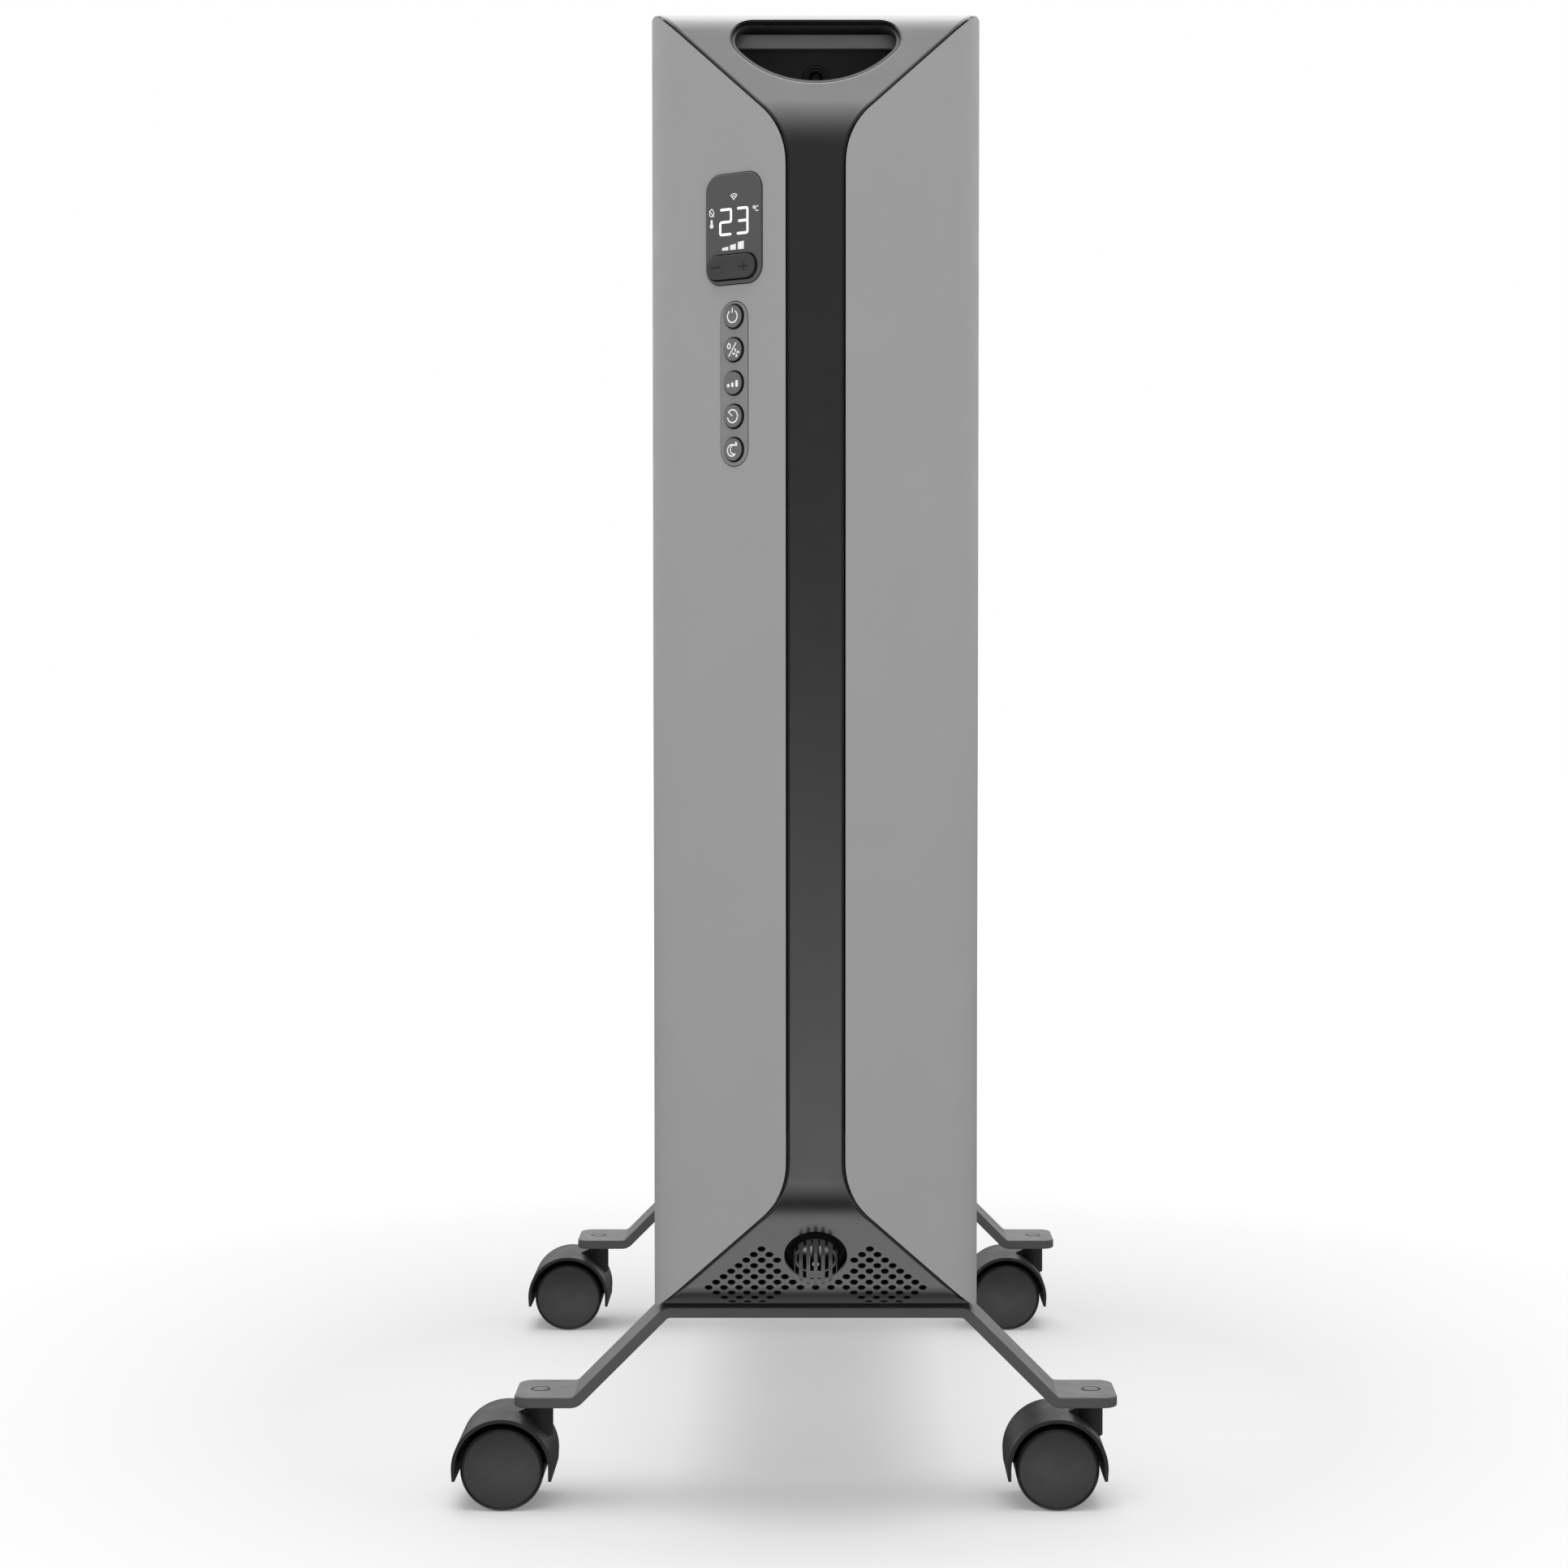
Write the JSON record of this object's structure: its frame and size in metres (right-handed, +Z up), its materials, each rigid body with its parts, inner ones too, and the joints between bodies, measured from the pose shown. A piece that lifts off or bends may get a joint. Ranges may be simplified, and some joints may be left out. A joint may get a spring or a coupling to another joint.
{
  "type": "oil filled radiator heater",
  "caption": "Upright oil filled radiator heater with finned body, hip-roofed end covers, touch controls, recessed handles and twin-wheel castors on folded feet.",
  "frame": {"origin": "on the floor, midway between the four castor stems", "axes": "+Z up; X across the heater; Y along the row of fins, with the control end facing -Y"},
  "size_m": [0.3029, 0.5132, 0.6754],
  "materials": {
    "shell_grey": "satin grey paint on a moulded cover, very fine texture",
    "trim_dark": "satin moulded plastic, dark grey, very fine texture",
    "fin_paint": "baked grey powder coat",
    "zinc_steel": "zinc plated",
    "black_steel": "black oxide",
    "brass": "machined",
    "display_black": "smooth smoked panel with lit symbols",
    "control_grey": "matte keypad",
    "dark_plastic": "satin black moulded plastic",
    "wheel_plastic": "matte black moulded nylon",
    "board_green": "solder mask",
    "foot_paint": "dark grey powder coat",
    "rubber_black": "matte"
  },
  "bodies": {
    "root": {"fin_1": "fin_paint", "fin_2": "fin_paint", "fin_3": "fin_paint", "fin_4": "fin_paint", "fin_5": "fin_paint", "fin_6": "fin_paint", "fin_7": "fin_paint", "heating_element": "zinc_steel", "filler_plug": "brass", "front_end_plate": "zinc_steel", "rear_end_plate": "zinc_steel", "front_left_panel": "shell_grey", "front_right_panel": "shell_grey", "front_spine": "trim_dark", "front_handle_pocket": "trim_dark", "handle_screw": "black_steel", "rear_left_panel": "shell_grey", "rear_right_panel": "shell_grey", "rear_spine": "trim_dark", "rear_handle_pocket": "trim_dark", "display_lens": "display_black", "button_strip": "shell_grey", "control_board": "board_green", "sensor_cage": "dark_plastic", "sensor_probe": "zinc_steel", "thermal_cutout": "zinc_steel", "tilt_switch": "dark_plastic", "cord_gland": "rubber_black", "front_foot_bar": "foot_paint", "rear_foot_bar": "foot_paint", "front_foot_bolt_left": "black_steel", "front_foot_bolt_right": "black_steel", "rear_foot_bolt_left": "black_steel", "rear_foot_bolt_right": "black_steel", "front_left_stem": "black_steel", "front_right_stem": "black_steel", "rear_left_stem": "black_steel", "rear_right_stem": "black_steel"},
    "front_left_castor": {"front_left_fork": "dark_plastic", "front_left_axle": "zinc_steel"},
    "front_left_wheel_outer": {"front_left_wheel_outer": "wheel_plastic"},
    "front_left_wheel_inner": {"front_left_wheel_inner": "wheel_plastic"},
    "front_right_castor": {"front_right_fork": "dark_plastic", "front_right_axle": "zinc_steel"},
    "front_right_wheel_outer": {"front_right_wheel_outer": "wheel_plastic"},
    "front_right_wheel_inner": {"front_right_wheel_inner": "wheel_plastic"},
    "rear_left_castor": {"rear_left_fork": "dark_plastic", "rear_left_axle": "zinc_steel"},
    "rear_left_wheel_outer": {"rear_left_wheel_outer": "wheel_plastic"},
    "rear_left_wheel_inner": {"rear_left_wheel_inner": "wheel_plastic"},
    "rear_right_castor": {"rear_right_fork": "dark_plastic", "rear_right_axle": "zinc_steel"},
    "rear_right_wheel_outer": {"rear_right_wheel_outer": "wheel_plastic"},
    "rear_right_wheel_inner": {"rear_right_wheel_inner": "wheel_plastic"},
    "button_power": {"button_power": "control_grey"},
    "button_mode": {"button_mode": "control_grey"},
    "button_heat": {"button_heat": "control_grey"},
    "button_timer": {"button_timer": "control_grey"},
    "button_night": {"button_night": "control_grey"},
    "rocker_button": {"rocker_button": "dark_plastic"}
  },
  "joints": [
    {"name": "front_left_swivel", "type": "hinge", "parent": "root", "child": "front_left_castor", "pos_m": [-0.1263, -0.1873, 0.0455], "axis": [0, 0, 1], "continuous": true},
    {"name": "front_left_outer_spin", "type": "hinge", "parent": "front_left_castor", "child": "front_left_wheel_outer", "pos_m": [-0.1426, -0.1873, 0.019], "axis": [0, 1, 0], "continuous": true},
    {"name": "front_left_inner_spin", "type": "hinge", "parent": "front_left_castor", "child": "front_left_wheel_inner", "pos_m": [-0.1426, -0.1873, 0.019], "axis": [0, 1, 0], "continuous": true},
    {"name": "front_right_swivel", "type": "hinge", "parent": "root", "child": "front_right_castor", "pos_m": [0.1263, -0.1873, 0.0455], "axis": [0, 0, 1], "continuous": true},
    {"name": "front_right_outer_spin", "type": "hinge", "parent": "front_right_castor", "child": "front_right_wheel_outer", "pos_m": [0.11, -0.1873, 0.019], "axis": [0, 1, 0], "continuous": true},
    {"name": "front_right_inner_spin", "type": "hinge", "parent": "front_right_castor", "child": "front_right_wheel_inner", "pos_m": [0.11, -0.1873, 0.019], "axis": [0, 1, 0], "continuous": true},
    {"name": "rear_left_swivel", "type": "hinge", "parent": "root", "child": "rear_left_castor", "pos_m": [-0.1263, 0.1873, 0.0455], "axis": [0, 0, 1], "continuous": true},
    {"name": "rear_left_outer_spin", "type": "hinge", "parent": "rear_left_castor", "child": "rear_left_wheel_outer", "pos_m": [-0.1426, 0.1873, 0.019], "axis": [0, 1, 0], "continuous": true},
    {"name": "rear_left_inner_spin", "type": "hinge", "parent": "rear_left_castor", "child": "rear_left_wheel_inner", "pos_m": [-0.1426, 0.1873, 0.019], "axis": [0, 1, 0], "continuous": true},
    {"name": "rear_right_swivel", "type": "hinge", "parent": "root", "child": "rear_right_castor", "pos_m": [0.1263, 0.1873, 0.0455], "axis": [0, 0, 1], "continuous": true},
    {"name": "rear_right_outer_spin", "type": "hinge", "parent": "rear_right_castor", "child": "rear_right_wheel_outer", "pos_m": [0.11, 0.1873, 0.019], "axis": [0, 1, 0], "continuous": true},
    {"name": "rear_right_inner_spin", "type": "hinge", "parent": "rear_right_castor", "child": "rear_right_wheel_inner", "pos_m": [0.11, 0.1873, 0.019], "axis": [0, 1, 0], "continuous": true},
    {"name": "power_press", "type": "slide", "parent": "root", "child": "button_power", "axis": [0.6018, 0.7986, 0], "range_m": [0, 0.0008], "stiffness_N_per_m": 800},
    {"name": "mode_press", "type": "slide", "parent": "root", "child": "button_mode", "axis": [0.6018, 0.7986, 0], "range_m": [0, 0.0008], "stiffness_N_per_m": 800},
    {"name": "heat_press", "type": "slide", "parent": "root", "child": "button_heat", "axis": [0.6018, 0.7986, 0], "range_m": [0, 0.0008], "stiffness_N_per_m": 800},
    {"name": "timer_press", "type": "slide", "parent": "root", "child": "button_timer", "axis": [0.6018, 0.7986, 0], "range_m": [0, 0.0008], "stiffness_N_per_m": 800},
    {"name": "night_press", "type": "slide", "parent": "root", "child": "button_night", "axis": [0.6018, 0.7986, 0], "range_m": [0, 0.0008], "stiffness_N_per_m": 800},
    {"name": "rocker_tilt", "type": "hinge", "parent": "root", "child": "rocker_button", "pos_m": [-0.0347, -0.23774, 0.5577], "axis": [0, 0, 1], "range_deg": [-3, 3], "stiffness_Nm_per_rad": 0.05}
  ]
}
